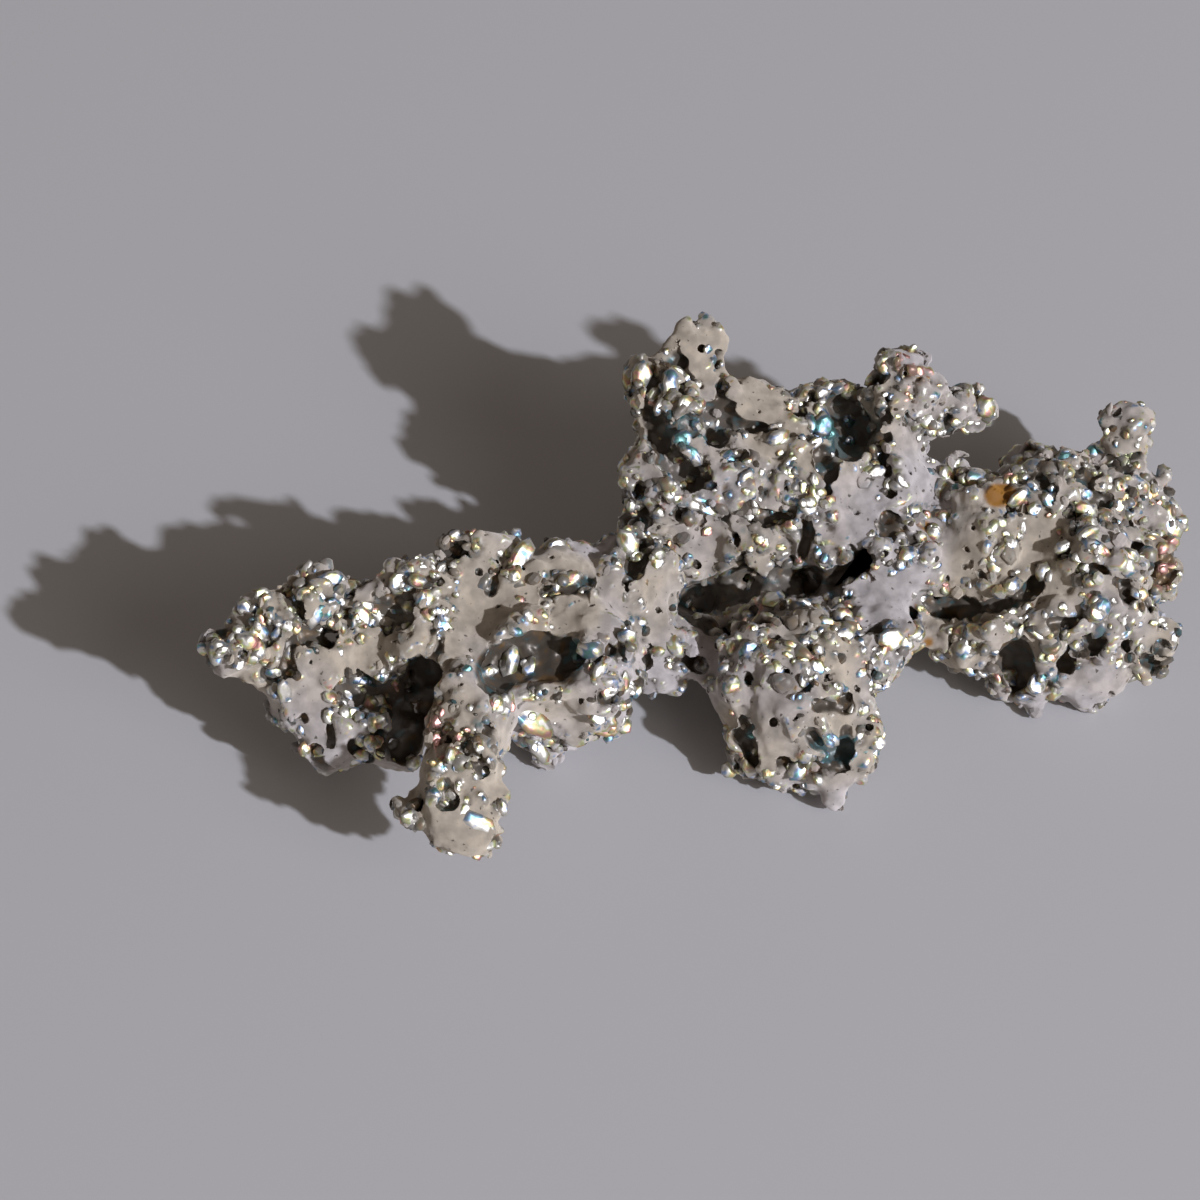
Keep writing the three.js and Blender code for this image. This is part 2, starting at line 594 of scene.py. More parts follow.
RIGHT_HOLLOWS = places(
    Feature.HOLLOW,
    (27, 519, 71, 210, 560, 59, 217, 594, 51, 227), (20, 634, 49, 243, 676, 47, 259),
    (21, 706, 55, 277, 732, 76, 285), (38, 690, -35, 178, 704, -60, 137),
    (17, 764, -13, 257, 808, -5, 253), (22, 794, -54, 167), (13, 826, 83, 324, 877, 63, 350),
    (20, 956, 158, 316), (17, 924, 35, 327, 931, 17, 302), (14, 974, 59, 259, 983, 55, 222),
    (20, 847, -36, 230, 874, -37, 218), (14, 931, -18, 185), (14, 972, -42, 170), (14, 595, -53, 118),
    (17, 717, 467, 295, 745, 456, 294), (17, 860, 262, 355, 898, 279, 329), (15, 598, 377, 340),
)
PITS = places(
    Feature.PIT,
    (11, -843, -281, 267), (11, 64, 543, 506), (12, 10, 520, 557), (9, 2, 154, 253),
    (9, 113, -261, 210), (11, 157, -275, 242), (9, 173, -313, 160), (9, 165, -319, 122),
    (9, 277, -190, 290), (10, 902, -91, 110), (12, 684, -83, 85), (10, 837, 396, 367),
)
SKIN = places(
    Feature.SKIN,
    (20, -823, -212, 357, -754, -188, 347, -663, -161, 355),
    (16, -1027, -235, 367, -967, -226, 310, -904, -254, 277), (38, -839, -257, 297),
    (36, -808, -304, 238, -756, -351, 159), (20, -693, -325, 144, -640, -331, 134),
    (45, -545, -611, 306, -462, -612, 300), (25, -515, -636, 242), (29, -715, -51, 423),
    (27, -425, -65, 399, -361, -52, 397), (20, -472, -111, 381, -520, -175, 382),
    (18, -297, -107, 389, -212, -138, 403), (33, -72, -1, 323, -92, 4, 358), (25, -79, -67, 294),
    (29, 9, -133, 137, 50, -202, 189), (34, 129, -246, 243, 161, -304, 203), (22, 206, -312, 110),
    (27, 314, -257, 206), (33, 313, -335, 115), (25, 21, -48, 221), (29, 384, 83, 274, 392, 6, 281),
    (22, 323, -162, 276), (40, 2, 531, 571, -16, 510, 555), (16, 34, 470, 514, 29, 401, 513),
    (42, 115, 427, 498, 141, 434, 476), (16, -123, 366, 477), (25, 117, 309, 473), (22, 48, 195, 359),
    (33, 330, 234, 407, 355, 175, 382), (36, 19, 175, 286), (40, 495, 287, 392),
    (38, 575, 151, 344, 569, 124, 309), (29, 468, 79, 295, 447, 15, 277), (31, 743, 179, 338),
    (29, 773, 71, 288), (20, 895, 32, 330), (25, 548, -50, 139), (42, 839, -94, 130, 894, -90, 126),
    (13, 730, -26, 201, 734, -74, 167), (18, 196, -63, 297), (18, 651, -43, 239), (20, -93, 249, 462),
)
MIRRORS = places(
    Feature.MIRROR,
    (16, -62, 405, 540, -62, 455, 550), (25, 37, 236, 421), (16, 195, 269, 439), (22, 238, 203, 400),
    (18, 195, 222, 405), (20, 270, 400, 439), (20, 274, 477, 452), (22, 607, 314, 362),
    (20, 629, 473, 414), (18, 510, 183, 324), (18, -642, -56, 445),
    (15, -410, -215, 330, -400, -165, 345), (13, -370, -210, 330, -360, -180, 345),
    (20, -385, -275, 295, -345, -315, 280), (15, -455, -205, 325), (20, -254, -195, 373),
    (19, -383, -2, 428, -383, 36, 444), (21, -166, 100, 400, -145, 80, 395), (20, 210, -315, 131),
    (20, 678, -62, 136), (26, 865, 17, 268), (18, 67, -167, 237), (16, -93, 403, 534),
    (20, -964, -181, 405), (15, -546, -499, 365), (14, -659, -171, 343), (18, 840, 66, 350),
    (20, 412, -63, 260), (18, 342, -62, 295), (16, 750, 99, 299), (13, -727, -172, 260),
    (14, -671, -169, 270), (16, -703, -223, 240), (13, -787, -213, 260), (13, -790, -246, 230),
    (12, -703, -283, 190), (13, 337, 449, 400), (13, 337, 388, 400), (15, 285, 415, 400),
    (12, -345, -335, 260, -350, -365, 240),
)
OCHRE = places(
    Feature.OCHRE,
    (26, 650, 251, 377, 670, 253, 377), (11, 498, 216, 315), (10, 502, 18, 158),
)
DISH = places(
    Feature.DISH,
    (54, -425, -200, 330, -360, -175, 345, -295, -190, 350),
)
GRAINS = places(
    Feature.GRAINS,
    (100, -90, 390, 500, -50, 260, 440, 30, 190, 360), (90, 120, 300, 460, 150, 200, 380),
    (100, 300, 420, 440, 320, 300, 420, 270, 190, 370), (80, 400, 470, 500, 560, 470, 420),
    (120, 650, 320, 340, 850, 330, 330, 980, 250, 260, 960, 80, 260),
    (70, 620, -10, 220, 760, -30, 200, 920, -20, 200),
    (60, -960, -180, 400, -860, -130, 410, -760, -100, 410),
    (90, 90, -90, 210, 145, -40, 240, 230, -90, 250, 310, -120, 260),
    (70, 260, -240, 130, 330, -230, 130),
)
TEAL = places(
    Feature.TINT,
    (30, -255, -185, 365), (20, -475, -200, 330), (22, -118, -200, 340),
    (45, 290, 420, 400, 330, 400, 400), (35, 270, -250, 130, 330, -260, 130),
    (30, -60, 360, 490, -10, 330, 470), (25, -790, -95, 410),
)
RUSSET = places(
    Feature.TINT,
    (25, -315, -220, 330), (45, -560, -330, 320, -545, -370, 320), (45, 480, 520, 500),
    (25, 1030, 200, 260, 1020, 120, 240),
)
SPURS = places(
    Feature.SPUR,
    (42, 520, 460, 420, 555, 468, 422, 590, 475, 415), (34, 495, 440, 400, 540, 440, 395),
    (46, 945, 420, 300, 948, 445, 340, 950, 472, 378), (24, 985, 474, 380), (22, 915, 470, 376),
    (29, 583, 477, 419, 613, 471, 420, 643, 478, 399), (16, 609, 523, 424),
    (20, 591, 464, 372, 619, 457, 379),
    (22, -534, 73, 425, -491, 69, 436, -448, 65, 441, -401, 85, 411),
    (12, 706, 475, 290, 730, 461, 295), (18, 1035, 403, 268), (14, 1048, 308, 208, 1070, 320, 195),
    (18, 1040, 242, 221), (10, 552, 385, 344, 573, 395, 355, 593, 390, 350),
    (10, 35, -245, 100, 20, -252, 98), (14, 980, -41, 99), (26, 280, -300, 70, 292, -330, 42),
    (48, -585, -110, 190, -606, -160, 150, -631, -220, 110, -645, -250, 100),
)
BAYS = places(
    Feature.BAY,
    (29, 56, 646, 550, 91, 616, 550, 113, 593, 520, 119, 555, 506),
    (30, -168, 423, 469, -160, 403, 439, -155, 393, 404), (20, -186, 304, 407, -190, 271, 371),
    (27, -1075, -149, 380, -1079, -180, 355, -1067, -205, 321, -1041, -240, 311),
    (25, -941, -25, 445, -906, 25, 415), (25, -757, 14, 428, -735, -4, 426, -721, 12, 424),
    (22, -475, 133, 431, -448, 102, 461),
    (29, 417, -227, 158, 409, -267, 122, 386, -306, 78, 361, -316, 42),
)
CLEAN = ARM_HOLLOWS[:1] + CROWN_HOLLOWS + BELLY_HOLLOWS + RIGHT_HOLLOWS
HOLLOWS = ARM_HOLLOWS + TOWER_HOLLOWS + CROWN_HOLLOWS + BELLY_HOLLOWS + RIGHT_HOLLOWS


# How much longer a place is, each way, along the open side in mm: on the skin, and down its walls.
SHALLOW = 0.35
DEEP = 0.8


def distance_to(features: tuple[Place, ...], points: Array, reach: float = SHALLOW) -> Array:
    """Return how far points lie outside the nearest of some places, in mm.

    Args:
        features: the places.
        points: rows of x, y, z.
        reach: how much longer a place is, each way, along the open side in mm.

    Returns:
        One distance for each point, negative inside.
    """
    best = np.full(len(points), 99.0, np.float32)
    side = np.array(OPEN_SIDE, np.float32)
    depths = points @ side
    squares = (points * points).sum(1)
    for place in features:
        for centre in place.samples(place.radius * 0.6):
            along = np.abs(depths - centre @ side)
            past = np.maximum(along - reach, 0)
            square = squares - 2 * points @ centre.astype(np.float32) + centre @ centre
            gap = np.sqrt(np.maximum(square - along ** 2 + past ** 2, 0)) - place.radius
            best = np.minimum(best, gap)
    return best


def within(features: tuple[Place, ...], points: Array, low: float, high: float,
           reach: float = DEEP) -> Array:
    """Return how far points lie in some places: 1 up to low mm outside, easing to 0 at high mm."""
    return 1 - smooth_step(low, high, distance_to(features, points, reach))


# ---------------- the nugget

@dataclass
class Nugget:
    """The silver itself, worked in millimetres and brought back to metres at the end."""
    rng: np.random.Generator
    core_grid: float = 0.12
    core_shrink: float = 0.20
    knob_count: int = 8000
    knob_radius: Pair = (0.09, 0.30)
    bay_reach: float = 2.5
    hollow_depth: float = 0.42
    knob_grid: float = 0.0655
    loose_hollows: int = 1000
    loose_pits: int = 500
    bead_count: int = 4000
    bead_radius: Pair = (0.06, 0.19)
    bead_skew: float = 1.6
    bead_turn: float = 0.90
    bead_sink: float = 0.48
    # How dark the sides of beads are painted, as shade.
    painted_side_shade: float = 0.60
    bead_spread: float = 0.45
    facing_spread: float = 0.11
    bead_stretch: float = 0.25
    satellites: int = 2
    draw: float = 0.9
    crumb_count: int = 2000
    crumb_radius: Pair = (0.05, 0.15)
    crumb_stretch: float = 0.45
    fine_relief: float = 0.05
    fine_size: float = 0.17
    fold_relief: float = 0.08
    fold_size: float = 0.7
    calm_rounds: int = 10
    press: float = 0.75
    floor_ease: float = 0.15
    # How much of the lowest creases among the grains is painted dark, as shade.
    crease_shade_share: float = 0.15
    bright_share: float = 0.10
    anchor: Point = (1.6, -1.3, 4.0)
    open_side: Vector = field(default_factory=lambda: Vector(OPEN_SIDE))

    def build(self) -> list[Piece]:
        """Make the nugget in millimetres: its skin, split into lobes, and the beads on each.

        Returns:
            One object for each lobe, with its finish masks.
        """
        self.chunks = BlobMaker(self.rng, cuts=1, kinds=12, lumpiness=0.3)
        self.patches = Waves(self.rng, 1.5)
        self.body = self.core()
        self.grow_knobs()
        envelope = surface_of(self.body)
        self.carve()
        self.roughen()
        self.settle(self.body)
        self.drop_loose()
        beads = self.choose_beads()
        crumbs = self.choose_crumbs()
        self.mark(envelope, beads)
        shade(self.body, True)
        log.info("skin: %d faces", len(self.body.data.polygons))
        pieces = split(self.body)
        maker = BeadMaker(self.rng)
        for lobe, piece in zip(LOBES, pieces):
            near = beads.pick(lobe.holds(beads.centres))
            grains = maker.scatter("beads", near.centres, near.radii, self.bead_stretch,
                                   near.facing, near.pull)
            shade(grains, True)
            sides = np.tile(maker.side, len(near.radii))
            # Painted shade: bead sides are made dark, and so are many beads whose tops face away from the
            # light.
            away = 1 - smooth_step(0.90, 0.97, near.facing @ np.array(BRIGHT_SIDE))
            mood = self.rng.random((2, len(away)))
            painted_away_shade = (away * smooth_step(0.2, 0.9, mood[0])).repeat(len(maker.side))
            satin = (away * smooth_step(0.5, 0.8, mood[1])).repeat(len(maker.side))
            self.finish_grains(grains, np.maximum(self.painted_side_shade * sides, 0.7 * painted_away_shade),
                               (1 - 0.3 * sides) * (1 - satin))
            few = crumbs.pick(lobe.holds(crumbs.centres))
            bits = self.chunks.scatter("crumbs", few.centres, few.radii, self.crumb_stretch)
            shade(bits, False)
            mood = self.rng.random((2, len(few.radii))).repeat(len(self.chunks.balls[0]), 1)
            self.finish_grains(bits, smooth_step(0.35, 0.85, mood[0]), smooth_step(0.45, 0.95, mood[1]))
            join_into(piece, grains, bits)
            log.info("%s: %d beads, %d crumbs", lobe.name, len(near.radii), len(few.radii))
        return pieces

    def tint(self, mesh: Mesh) -> None:
        """Store which way the films' colour is shifted: -1 to teal, 1 to russet."""
        points = points_of(mesh)
        self.store(mesh, "tint", within(RUSSET, points, -0.1, 0.1) - within(TEAL, points, -0.1, 0.1))

    def finish_grains(self, grains: Piece, tarnish_and_shade: Array, polish: Array) -> None:
        """Lift grains off the floor and give them their dark colour and their polish.

        Args:
            grains: the beads or crumbs, as one object.
            tarnish_and_shade: how dark each vertex is: painted shade on beads, random sulphide on crumbs.
            polish: how bright each vertex is.
        """
        self.settle(grains)
        self.tint(grains.data)
        self.store(grains.data, "tarnish_and_shade", tarnish_and_shade)
        self.store(grains.data, "polish", polish)
        self.store(grains.data, "ochre", np.zeros(len(tarnish_and_shade)))

    def settle(self, body: Piece) -> None:
        """Ease what reaches below the floor up to it.

        Args:
            body: the object.
        """
        points = points_of(body.data)
        low = points[:, 2] < self.floor_ease
        points[low, 2] = self.floor_ease * np.exp(points[low, 2] / self.floor_ease - 1)
        move_points(body.data, points)

    def drop_loose(self) -> None:
        """Delete what isn't joined to the rest, such as a bead that hangs in the air."""
        select_only(self.body)
        mesh = self.body.data
        start = int(np.argmin(np.linalg.norm(points_of(mesh) - np.array(self.anchor), axis=1)))
        with edit_mode():
            bpy.ops.mesh.select_mode(type="VERT")
            bpy.ops.mesh.select_all(action="DESELECT")
        mesh.vertices[start].select = True
        with edit_mode():
            bpy.ops.mesh.select_linked()
            bpy.ops.mesh.select_all(action="INVERT")
            bpy.ops.mesh.delete(type="VERT")

    def sponge(self, points: Array) -> Array:
        """Return how spongy the nugget is at points: 0 on smooth skin, 1 where it is all grains.

        Args:
            points: rows of x, y, z.

        Returns:
            One value for each point.
        """
        loose = smooth_step(-0.8, -0.2, self.patches.at(points))
        near = within(HOLLOWS, points, 0.10, 0.45, SHALLOW)
        grainy = within(GRAINS, points, -0.1, 0.2)
        smooth = smooth_step(0.0, 0.15, distance_to(SKIN + DISH, points))
        return np.max((loose, near, grainy), axis=0) * smooth

    def core(self) -> Piece:
        """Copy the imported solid, close and round it, and draw it in to leave room for the knobs.

        Returns:
            The core, in mm.
        """
        body = copy_of(frame["nodes"][NODE], "nugget_skin")
        body.parent = None
        for key in list(body.keys()):
            del body[key]
        body.data.materials.clear()
        body.data.transform(Matrix.Scale(1 / MM, 4))
        select_only(body)
        with edit_mode():
            bpy.ops.mesh.select_all(action="SELECT")
            bpy.ops.mesh.remove_doubles(threshold=0.0001)
        cuts = [(point + np.array(self.open_side) * reach, place.radius)
                for place in BAYS for point in place.samples(place.radius * 0.8)
                for reach in np.arange(-self.bay_reach, self.bay_reach, place.radius)]
        centres, radii = (np.array(part) for part in zip(*cuts))
        cutter = self.chunks.scatter("bays", centres, radii, 0.1)
        apply_modifier(cutter, "REMESH", mode="VOXEL", voxel_size=self.core_grid)
        apply_modifier(body, "REMESH", mode="VOXEL", voxel_size=self.core_grid)
        apply_modifier(body, "BOOLEAN", operation="DIFFERENCE", solver="MANIFOLD", object=cutter)
        bpy.data.objects.remove(cutter)
        apply_modifier(body, "REMESH", mode="VOXEL", voxel_size=self.core_grid)
        apply_modifier(body, "SMOOTH", factor=0.5, iterations=6)
        move_points(body.data, points_of(body.data) - self.core_shrink * normals_of(body.data))
        return body

    def grow_knobs(self) -> None:
        """Grow knobs of many sizes all over, fuse them and smooth the skin between them."""
        place, facing = sample_surface(self.body.data, self.knob_count, self.rng)
        radii = spread(self.knob_radius, self.rng.random(len(place)) ** 2)
        calm = 1 - self.sponge(place)
        radii *= 1 - 0.6 * calm
        knobs = self.chunks.scatter("knobs", place - facing * (radii * 0.15)[:, None], radii, 0.35)
        spurs = [(point, spur.radius) for spur in SPURS for point in spur.samples(spur.radius * 0.7)]
        centres, radii = (np.array(part) for part in zip(*spurs))
        join_into(self.body, knobs, self.chunks.scatter("spurs", centres, radii, 0.2))
        apply_modifier(self.body, "REMESH", mode="VOXEL", voxel_size=self.knob_grid)
        apply_modifier(self.body, "SMOOTH", factor=0.5, iterations=1)
        self.weigh("calm", 1 - self.sponge(points_of(self.body.data)))
        apply_modifier(self.body, "SMOOTH", factor=0.6, iterations=self.calm_rounds, vertex_group="calm")
        self.flatten()

    def flatten(self) -> None:
        """Press each named stretch of skin towards its own plane."""
        points = points_of(self.body.data)
        normals = normals_of(self.body.data)
        for place in SKIN:
            for centre in place.samples(place.radius * 1.2):
                gap = np.linalg.norm(points - centre, axis=1)
                near = (gap < place.radius * 1.1) & (normals @ np.array(self.open_side) > 0.2)
                if near.sum() < 8:
                    continue
                facing = normals[near].mean(0)
                facing /= np.linalg.norm(facing)
                middle = points[near].mean(0)
                press = self.press * (1 - smooth_step(place.radius * 0.6, place.radius * 1.1, gap[near]))
                above = (points[near] - middle) @ facing
                points[near] -= (press * above)[:, None] * facing
        move_points(self.body.data, points)

    def weigh(self, name: str, values: Array) -> None:
        """Store values from 0 to 1 as a vertex group, in steps of a tenth.

        Args:
            name: the group's name.
            values: one for each vertex.
        """
        group = self.body.vertex_groups.get(name) or self.body.vertex_groups.new(name=name)
        steps = np.round(values * 10).astype(int)
        for step in range(0, 11):
            members = np.nonzero(steps == step)[0]
            if len(members):
                group.add(members.tolist(), step / 10, "REPLACE")

    def carve(self) -> None:
        """Cut the named clefts, hollows and pits, and many loose ones."""
        centres, radii = [], []
        skin = surface_of(self.body)
        for place in HOLLOWS + PITS:
            for point in place.samples(place.radius * 0.6):
                start = min((self.on_skin(skin, point) - Vector(point)).dot(self.open_side), 0)
                depth = min(place.radius * 1.2, self.hollow_depth)
                for rise in np.arange(start - depth, 2.0, place.radius * 0.7):
                    centres.append(Vector(point) + self.open_side * rise)
                    radii.append(place.radius * 1.05)
        for place in DISH:
            for point in place.samples(place.radius * 0.3):
                for rise in (0.4, 1.0, 1.6):
                    centres.append(self.on_skin(skin, point) + self.open_side * place.radius * rise)
                    radii.append(place.radius)
        points = points_of(self.body.data)
        sponge = self.sponge(points)
        plain = smooth_step(0.0, 0.1, distance_to(OCHRE, points))
        place, facing = sample_surface(self.body.data, self.loose_hollows, self.rng, sponge * plain)
        for spot, normal in zip(place, facing):
            radius = 0.08 + 0.18 * self.rng.random() ** 2
            along = np.cross(normal, self.rng.normal(size=3))
            along /= np.linalg.norm(along)
            for step in range(self.rng.integers(1, 5)):
                drift = along * step * radius * 0.9 + self.rng.normal(size=3) * radius * 0.3
                centres.append(Vector(spot + drift - normal * radius * 0.5))
                radii.append(radius * self.rng.uniform(0.7, 1.1))
        weight = (1.2 - 0.6 * sponge) * plain
        place, facing = sample_surface(self.body.data, self.loose_pits, self.rng, weight)
        for spot, normal in zip(place, facing):
            radius = self.rng.uniform(0.045, 0.12)
            centres.append(Vector(spot - normal * radius * 0.4))
            radii.append(radius)
        cutter = self.chunks.scatter("cutter", np.array(centres), np.array(radii), 0.2)
        apply_modifier(cutter, "REMESH", mode="VOXEL", voxel_size=self.knob_grid)
        apply_modifier(self.body, "BOOLEAN", operation="DIFFERENCE", solver="MANIFOLD", object=cutter)
        bpy.data.objects.remove(cutter)

    def choose_beads(self) -> Beads:
        """Choose where the beads sit: the named bright ones, and many more among the grains.

        Returns:
            The beads. Many tops face one way, so that they glint together from the open side.
        """
        skin = surface_of(self.body)
        bright = np.array(BRIGHT_SIDE)
        spots, sizes, pulls = [], [], []
        for place in MIRRORS:
            ends = np.array([self.on_skin(skin, point) for point in place.samples(99.0)])
            pull = (ends[-1] - ends[0]) / 2
            spots.append(ends.mean(0) - np.array(OPEN_SIDE) * place.radius * 0.2)
            sizes.append(place.radius * 1.15)
            pulls.append(pull - (pull @ bright) * bright)
            for _ in range(self.satellites):
                spots.append(spots[-1] + self.rng.normal(size=3) * place.radius * 0.45)
                sizes.append(place.radius * self.rng.uniform(0.4, 0.8))
                pulls.append(np.zeros(3))
        points = points_of(self.body.data)
        sunk = 1 - smooth_step(-0.06, 0.03, self.height_over(12))
        weight = (0.03 + self.sponge(points)) * (0.35 + sunk) * self.bare(points)
        weight *= points[:, 2] > 2 * self.bead_radius[0]
        loose, normal = sample_surface(self.body.data, self.bead_count, self.rng, weight)
        radii = spread(self.bead_radius, self.rng.random(len(loose)) ** self.bead_skew)
        turned = (self.rng.random(len(loose)) < self.bead_turn) & (normal @ bright > 0.0)
        facing = np.where(turned[:, None], bright, normal)
        facing = np.concatenate((bright[None].repeat(len(spots), 0), facing))
        turned = np.concatenate((np.ones(len(spots), bool), turned))
        stray = np.where(turned, self.facing_spread, self.bead_spread)
        facing += self.rng.normal(size=facing.shape) * stray[:, None]
        facing = unit(facing)
        centres = np.concatenate((spots, loose - normal * (radii * self.bead_sink)[:, None]))
        drawn = np.cross(normal, self.rng.normal(size=normal.shape))
        drawn *= (radii / np.linalg.norm(drawn, axis=1))[:, None]
        pulls = np.concatenate((pulls, drawn * self.rng.random(len(radii))[:, None] ** 2 * self.draw))
        return Beads(centres, np.concatenate((sizes, radii)), facing, pulls)

    def choose_crumbs(self) -> Beads:
        """Choose where small angular crumbs cling among the grains.

        Returns:
            The crumbs.
        """
        points = points_of(self.body.data)
        weight = (0.02 + self.sponge(points) ** 2) * self.bare(points)
        centres, facing = sample_surface(self.body.data, self.crumb_count, self.rng, weight)
        radii = spread(self.crumb_radius, self.rng.random(len(centres)) ** 2)
        return Beads(centres - facing * (radii * 0.25)[:, None], radii, facing, facing * 0)

    def bare(self, points: Array) -> Array:
        """Return how much room grains have at points: little in clean clefts, full elsewhere.

        Args:
            points: rows of x, y, z.

        Returns:
            One share for each point.
        """
        inside = within(CLEAN, points, -0.05, 0.12)
        tower = smooth_step(-0.1, 0.05, distance_to(TOWER_HOLLOWS, points))
        inside = np.maximum(inside, 0.6 - 0.6 * tower)
        dish = within(DISH, points, -0.3, 0.0)
        stained = within(OCHRE, points, 0.0, 0.1, SHALLOW)
        return (1 - 0.93 * inside) * (1 - 0.8 * dish) * (1 - stained)

    def on_skin(self, skin: BVHTree, point: Point) -> Vector:
        """Return where the skin lies at a place, as met from the open side.

        Args:
            skin: a search tree over the skin.
            point: the place in mm.

        Returns:
            The point on the skin, or the place itself where there is none.
        """
        start = Vector(point) + self.open_side * 2
        spot = skin.ray_cast(start, -self.open_side)[0]
        return spot if spot else Vector(point)

    def roughen(self) -> None:
        """Give the spongy parts a fine uneven grain."""
        self.weigh("rough", self.sponge(points_of(self.body.data)) * 0.6 + 0.4)
        folds = bpy.data.textures.new("folds", "MUSGRAVE")
        folds.musgrave_type = "RIDGED_MULTIFRACTAL"
        folds.noise_scale = self.fold_size
        folds.octaves = 2
        apply_modifier(self.body, "DISPLACE", texture=folds, strength=self.fold_relief, mid_level=0.5,
                       vertex_group="rough")
        grain = bpy.data.textures.new("grain", "CLOUDS")
        grain.noise_scale = self.fine_size
        grain.noise_depth = 1
        apply_modifier(self.body, "DISPLACE", texture=grain, strength=self.fine_relief, mid_level=0.5,
                       vertex_group="rough")

    def mark(self, envelope: BVHTree, beads: Beads) -> None:
        """Store what the finish needs at each point: dark sulphide with painted shade, polish, ochre.

        Args:
            envelope: the skin as it was before it was hollowed.
            beads: the beads on it, each with a rim of painted shade round its foot.
        """
        mesh = self.body.data
        points = points_of(mesh)
        depth = np.empty(len(points), np.float32)
        rim = np.empty(len(points), np.float32)
        tree = tree_of(beads.centres)
        for number, point in enumerate(points.tolist()):
            spot, facing, _, gap = envelope.find_nearest(point)
            depth[number] = -gap if (Vector(point) - spot).dot(facing) > 0 else gap
            _, nearest, gap = tree.find(point)
            rim[number] = gap - beads.radii[nearest]
        fine = self.height_over(8)
        broad = self.height_over(40)
        sponge = self.sponge(points)
        low, high = np.quantile(fine, (1 - self.bright_share, 1 - self.bright_share / 2))
        crests = smooth_step(low, high, fine) * smooth_step(0.3, 0.8, sponge)
        named = within(HOLLOWS, points, -0.10, 0.05) * smooth_step(0.0, 0.08, depth)
        dish = within(DISH, points, -0.08, 0.02)
        # Painted shade: the lowest creases among the grains and a rim round each bead's foot are made
        # dark. The walls of named hollows and carved places are dark sulphide.
        low, high = np.quantile(broad[sponge > 0.5], (self.crease_shade_share * 0.5, self.crease_shade_share * 1.5))
        painted_crease_shade = (1 - smooth_step(low, high, broad)) * smooth_step(0, 0.5, sponge)
        painted_foot_shade = (1 - smooth_step(0.0, 0.07, rim)) * smooth_step(0.0, 0.4, sponge)
        black = np.max((0.85 * painted_crease_shade, 0.5 * painted_foot_shade, named, smooth_step(0.03, 0.13, depth)), axis=0)
        # Painted light: the deepest walls are made a little lighter, against the shade they lie in.
        black *= 1 - 0.2 * smooth_step(0.20, 0.45, depth)
        self.tint(mesh)
        # The dish is painted dark all over, as a painted dark reflection, and half polished.
        self.store(mesh, "tarnish_and_shade", np.maximum(black, dish))
        self.store(mesh, "polish", np.maximum(crests, 0.5 * dish))
        self.store(mesh, "ochre", within(OCHRE, points, -0.05, 0.05, SHALLOW))

    def height_over(self, rounds: int) -> Array:
        """Return how far each point stands proud of the surface smoothed by some rounds, in mm.

        Args:
            rounds: how many times the surface is smoothed.

        Returns:
            One height for each vertex.
        """
        calm = copy_of(self.body, "calm")
        apply_modifier(calm, "SMOOTH", factor=0.5, iterations=rounds)
        height = ((points_of(self.body.data) - points_of(calm.data)) * normals_of(self.body.data)).sum(1)
        bpy.data.objects.remove(calm)
        return height

    def store(self, mesh: Mesh, name: str, values: Array) -> None:
        """Store one value for each vertex under a name."""
        layer = mesh.attributes.new(name, "FLOAT", "POINT")
        layer.data.foreach_set("value", values.astype(np.float32))


# ---------------- pieces

@dataclass(frozen=True)
class Lobe:
    """One lobe of the nugget, between two corners in mm in the frame."""
    name: str
    low: Point
    high: Point

    def holds(self, points: Array) -> Array:
        """Return which points lie in the lobe."""
        return (points >= self.low).all(1) & (points < self.high).all(1)


FAR = 20.0
LOBES = (
    Lobe("arm_tip", (-FAR, -FAR, -FAR), (-6.9, FAR, FAR)),
    Lobe("arm_and_front_lobe", (-6.9, -FAR, -FAR), (-2.4, FAR, FAR)),
    Lobe("tower", (-2.4, 1.3, -FAR), (2.2, FAR, FAR)),
    Lobe("crown", (2.2, 1.3, -FAR), (5.2, FAR, FAR)),
    Lobe("belly", (-2.4, -FAR, -FAR), (5.2, 1.3, FAR)),
    Lobe("right_lobe", (5.2, -FAR, -FAR), (8.2, FAR, FAR)),
    Lobe("right_end", (8.2, -FAR, -FAR), (FAR, FAR, FAR)),
)
MASKS = ("tarnish_and_shade", "polish", "ochre", "tint")


def mend_cut(mesh: Mesh, lobe: Lobe, whole: Mesh, tree: KDTree) -> None:
    """Make the look run on across a cut: its rim is sharp, and keeps the whole skin's masks.

    Args:
        mesh: the lobe's mesh.
        lobe: the lobe.
        whole: the skin before it was split.
        tree: a search tree over its points.
    """
    points = points_of(mesh)
    sharp = np.zeros(len(mesh.edges), bool)
    ends = read(mesh.edges, "vertices", 2, np.int32)
    for axis in range(3):
        for side in (lobe.low[axis], lobe.high[axis]):
            on_cut = np.abs(points[:, axis] - side) < 1e-4
            sharp |= on_cut[ends].all(1)
    on_cut = np.unique(ends[sharp])
    nearest = [tree.find(point)[1] for point in points[on_cut].tolist()]
    for name in MASKS:
        source = read(whole.attributes[name].data, "value")
        values = read(mesh.attributes[name].data, "value")
        values[on_cut] = source[nearest]
        mesh.attributes[name].data.foreach_set("value", values)
    layer = mesh.attributes.get("sharp_edge") or mesh.attributes.new("sharp_edge", "BOOLEAN", "EDGE")
    layer.data.foreach_set("value", sharp)


